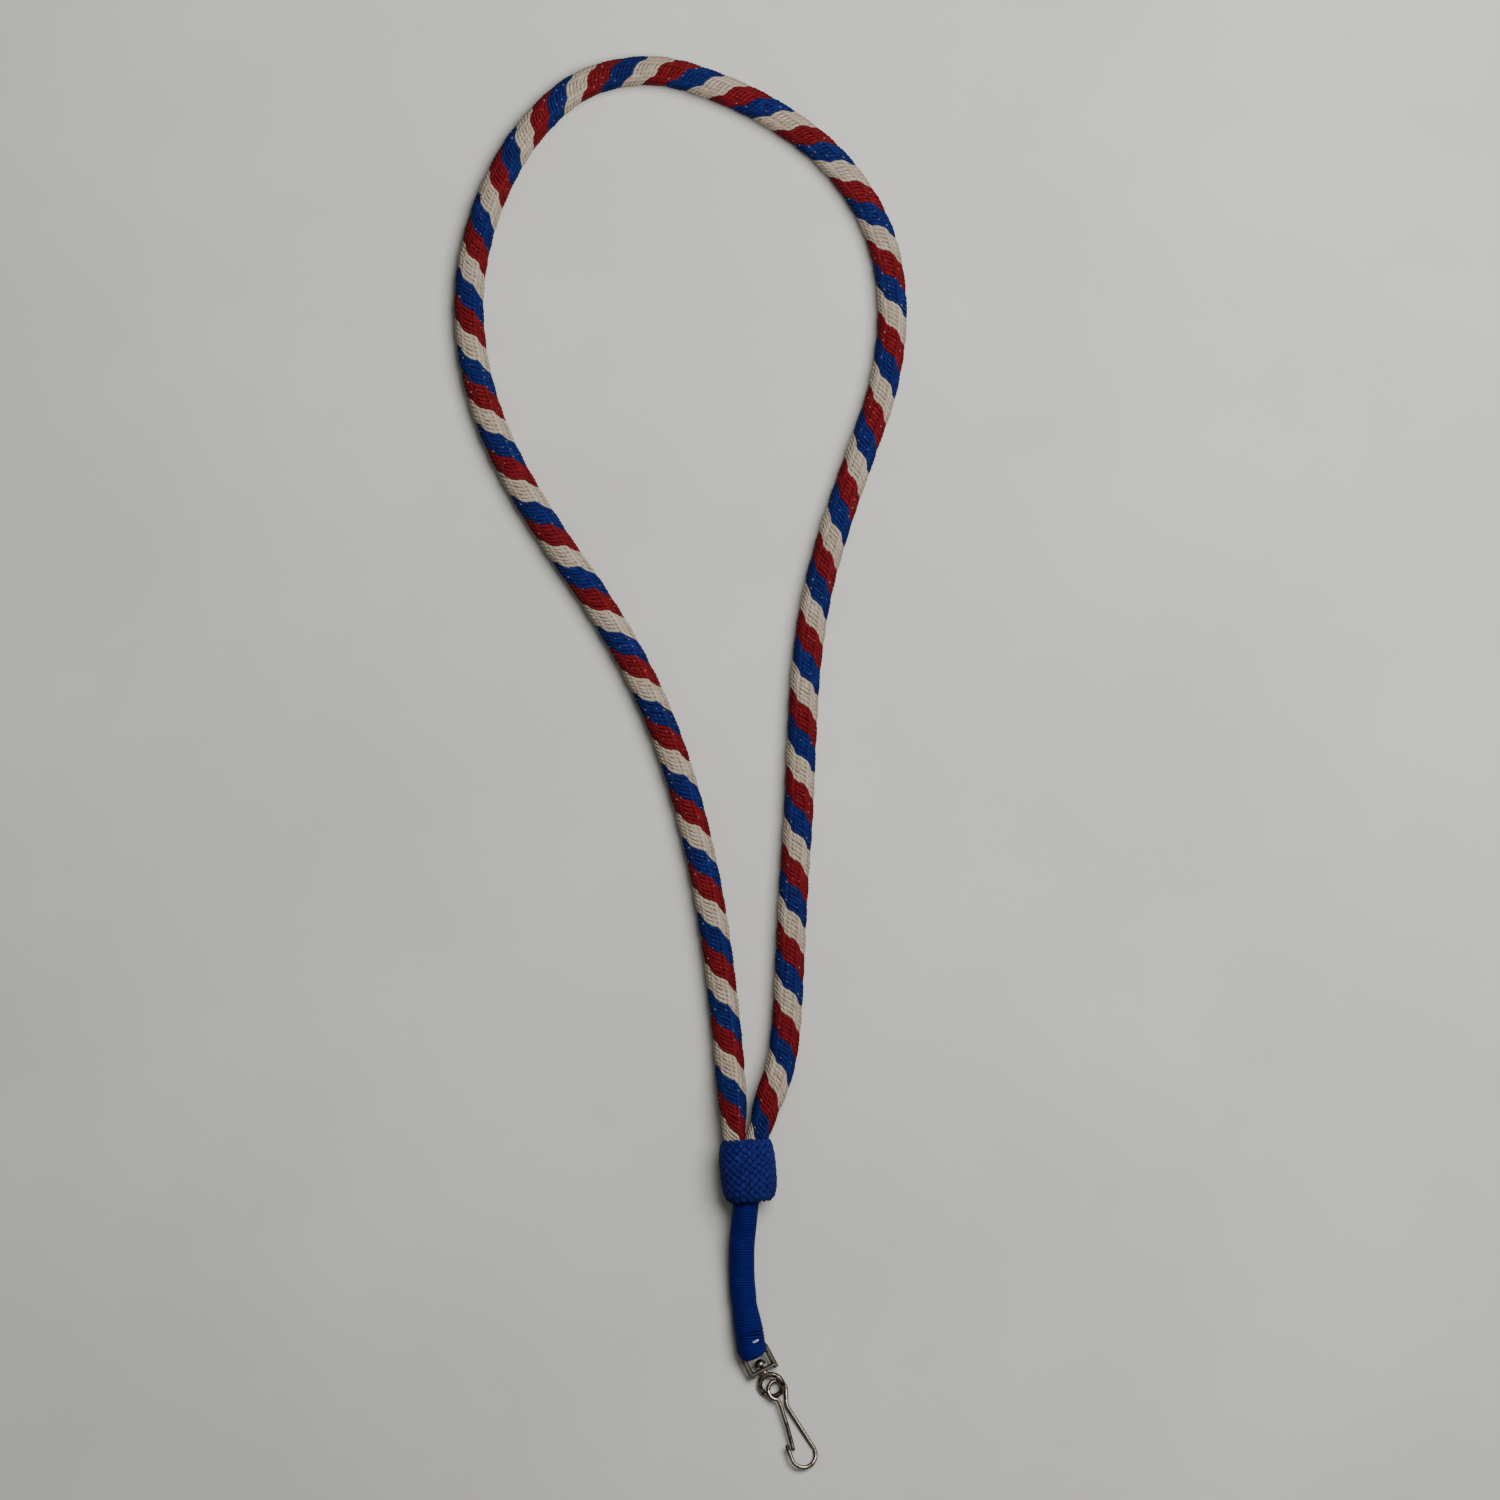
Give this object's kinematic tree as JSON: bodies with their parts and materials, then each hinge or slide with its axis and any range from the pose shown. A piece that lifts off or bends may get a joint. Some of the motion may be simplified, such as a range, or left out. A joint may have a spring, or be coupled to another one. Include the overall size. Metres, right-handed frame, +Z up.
{
  "type": "neck lanyard",
  "caption": "Plaited neck lanyard in red, white and blue bands, gathered by a woven knot into a whipped stem that carries a wire swivel hook.",
  "frame": {"origin": "the middle of the underside of the box round the knot, the stem and the hook, on the surface that the lanyard lies on", "axes": "+Y runs from the hook to the neck loop, +Z is up from the surface, and +X is to the right seen from above"},
  "size_m": [0.1404, 0.4384, 0.018],
  "materials": {
    "plait": "plaited cotton in red, off-white and blue",
    "filler": "undyed cotton",
    "thread": "waxed thread",
    "knot_cord": "braided royal blue cord",
    "strand_cord": "twisted royal blue cord",
    "whipping_cord": "served royal blue twine",
    "white_thread": "white thread",
    "nickel": "worn nickel plate with brown tarnish",
    "spring_wire": "worn nickel-plated spring wire"
  },
  "bodies": {
    "cord": {"neck_cord": "plait", "neck_core": "filler", "leg_seizing": "thread", "woven_knot": "knot_cord", "stem_strands": "strand_cord", "stem_whipping": "whipping_cord", "tail_stitch": "white_thread"},
    "bail": {"bail": "nickel"},
    "swivel": {"swivel_eye": "nickel"},
    "hook": {"hook_wire": "spring_wire"},
    "gate": {"gate_arm": "spring_wire"}
  },
  "joints": [
    {"name": "bail_swing", "type": "hinge", "parent": "cord", "child": "bail", "pos_m": [-0.0048, -0.0141, 0.0044], "axis": [0.887, 0.4617, 0], "range_deg": [-75, 75]},
    {"name": "swivel_spin", "type": "hinge", "parent": "bail", "child": "swivel", "pos_m": [-0.00158, -0.0203, 0.00312], "axis": [0.4542, -0.8726, -0.1797], "continuous": true},
    {"name": "hook_swing", "type": "hinge", "parent": "swivel", "child": "hook", "pos_m": [0.00275, -0.0268, 0.0016], "axis": [0.2592, 0.1174, 0.9587], "range_deg": [-30, 30]},
    {"name": "gate_flex", "type": "hinge", "parent": "hook", "child": "gate", "pos_m": [0.00275, -0.0268, 0.0016], "axis": [0.2592, 0.1174, 0.9587], "range_deg": [0, 10], "stiffness_Nm_per_rad": 0.05}
  ]
}
